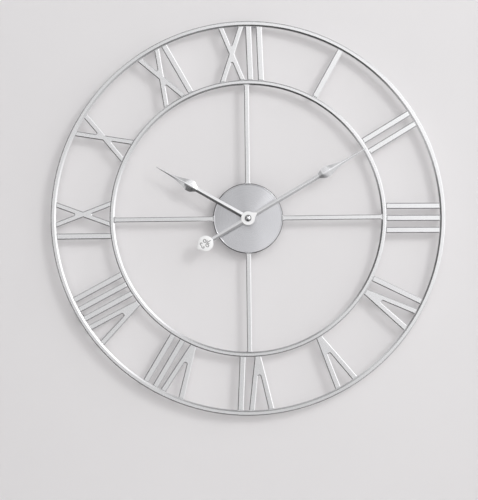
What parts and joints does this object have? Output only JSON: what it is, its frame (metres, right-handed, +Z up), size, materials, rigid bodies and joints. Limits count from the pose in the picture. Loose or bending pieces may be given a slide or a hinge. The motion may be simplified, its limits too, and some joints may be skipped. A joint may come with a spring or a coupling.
{
  "type": "wall clock",
  "caption": "Large skeleton wall clock: outer and inner metal rings joined by roman numerals, flat spokes and centre disc, pressed spade hands, battery quartz movement behind.",
  "frame": {"origin": "where the axis of the hands meets the wall plane that the rubber bumpers touch", "axes": "+Z up, +X to the viewer's right, +Y into the wall, so the dial faces -Y; the hand axis lies along Y"},
  "size_m": [0.7599, 0.0463, 0.76],
  "materials": {
    "frame_metal": "satin silver-white paint on steel",
    "hand_metal": "satin",
    "medallion_paint": "satin white paint",
    "cap_chrome": "polished",
    "brass": "satin",
    "zinc_steel": "bright zinc",
    "nickel_steel": "satin nickel",
    "soft_iron": "rolled sheet",
    "magnet": "sintered",
    "rubber": "matte",
    "case_plastic": "moulded, fine grain",
    "gear_plastic": "natural acetal",
    "board": "solder resist",
    "chip_resin": "gloss",
    "copper": "enamelled copper wire",
    "cell_sleeve": "printed sleeve over a can, mean density of a dry cell"
  },
  "bodies": {
    "frame": {"centre_disc": "frame_metal", "circuit_board": "board", "coil_bobbin": "gear_plastic", "coil_core": "soft_iron", "coil_winding": "copper", "contact_negative": "nickel_steel", "contact_positive": "nickel_steel", "hanger_bracket": "zinc_steel", "hex_nut": "brass", "inner_ring": "frame_metal", "movement_front_case": "case_plastic", "movement_rear_cover": "case_plastic", "numeral_01": "frame_metal", "numeral_02": "frame_metal", "numeral_03": "frame_metal", "numeral_04": "frame_metal", "numeral_05": "frame_metal", "numeral_06": "frame_metal", "numeral_07": "frame_metal", "numeral_08": "frame_metal", "numeral_09": "frame_metal", "numeral_10": "frame_metal", "numeral_11": "frame_metal", "numeral_12": "frame_metal", "outer_ring": "frame_metal", "quartz_crystal": "zinc_steel", "rubber_gasket": "rubber", "spoke_03": "frame_metal", "spoke_06": "frame_metal", "spoke_09": "frame_metal", "spoke_12": "frame_metal", "standoff_post_04": "frame_metal", "standoff_post_08": "frame_metal", "stator": "soft_iron", "threaded_bush": "brass", "timer_chip": "chip_resin", "wall_bumper_04": "rubber", "wall_bumper_08": "rubber", "washer": "zinc_steel"},
    "minute_hand": {"minute_arbor": "brass", "minute_hand": "hand_metal", "minute_hand_bush": "brass", "boss_plate": "medallion_paint", "tail_medallion": "medallion_paint", "medallion_rivet": "hand_metal", "cap_nut": "cap_chrome"},
    "hour_hand": {"hour_wheel": "gear_plastic", "hour_hand": "hand_metal", "hour_hand_bush": "brass"},
    "minute_wheel": {"minute_wheel": "gear_plastic"},
    "setting_knob": {"setting_knob": "case_plastic"},
    "rotor": {"rotor_magnet": "magnet", "rotor_pinion": "gear_plastic"},
    "intermediate_wheel": {"intermediate_wheel": "gear_plastic"},
    "seconds_wheel": {"seconds_wheel": "gear_plastic"},
    "third_wheel": {"third_wheel": "gear_plastic"},
    "centre_wheel": {"centre_wheel": "gear_plastic"},
    "battery": {"battery": "cell_sleeve"}
  },
  "joints": [
    {"name": "minute_hand_turn", "type": "hinge", "parent": "frame", "child": "minute_hand", "pos_m": [0, -0.038, 0], "axis": [0, 1, 0], "continuous": true},
    {"name": "hour_hand_turn", "type": "hinge", "parent": "frame", "child": "hour_hand", "pos_m": [0, -0.033, 0], "axis": [0, 1, 0], "continuous": true},
    {"name": "minute_wheel_turn", "type": "hinge", "parent": "frame", "child": "minute_wheel", "pos_m": [0.00927, -0.014, -0.00248], "axis": [0, 1, 0], "continuous": true},
    {"name": "setting_knob_turn", "type": "hinge", "parent": "frame", "child": "setting_knob", "pos_m": [0.0188, -0.014, -0.00365], "axis": [0, 1, 0], "continuous": true},
    {"name": "rotor_turn", "type": "hinge", "parent": "frame", "child": "rotor", "pos_m": [0.01208, -0.014, 0.01023], "axis": [0, 1, 0], "continuous": true},
    {"name": "intermediate_wheel_turn", "type": "hinge", "parent": "frame", "child": "intermediate_wheel", "pos_m": [0.00504, -0.014, 0.00873], "axis": [0, 1, 0], "continuous": true},
    {"name": "seconds_wheel_turn", "type": "hinge", "parent": "frame", "child": "seconds_wheel", "pos_m": [0, -0.014, 0], "axis": [0, 1, 0], "continuous": true},
    {"name": "third_wheel_turn", "type": "hinge", "parent": "frame", "child": "third_wheel", "pos_m": [-0.00883, -0.014, 0.0051], "axis": [0, 1, 0], "continuous": true},
    {"name": "centre_wheel_turn", "type": "hinge", "parent": "frame", "child": "centre_wheel", "pos_m": [0, -0.014, 0], "axis": [0, 1, 0], "continuous": true},
    {"name": "battery_slide", "type": "slide", "parent": "frame", "child": "battery", "axis": [0, 1, 0], "range_m": [0, 0.018]}
  ],
  "couplings": [
    {"joint": "hour_hand_turn", "follows": "minute_hand_turn", "ratio": 0.083333},
    {"joint": "minute_wheel_turn", "follows": "minute_hand_turn", "ratio": -0.33333},
    {"joint": "setting_knob_turn", "follows": "minute_hand_turn", "ratio": 1},
    {"joint": "intermediate_wheel_turn", "follows": "rotor_turn", "ratio": -0.2},
    {"joint": "seconds_wheel_turn", "follows": "rotor_turn", "ratio": 0.033333},
    {"joint": "third_wheel_turn", "follows": "rotor_turn", "ratio": -0.0044444},
    {"joint": "centre_wheel_turn", "follows": "rotor_turn", "ratio": 0.00055556}
  ]
}
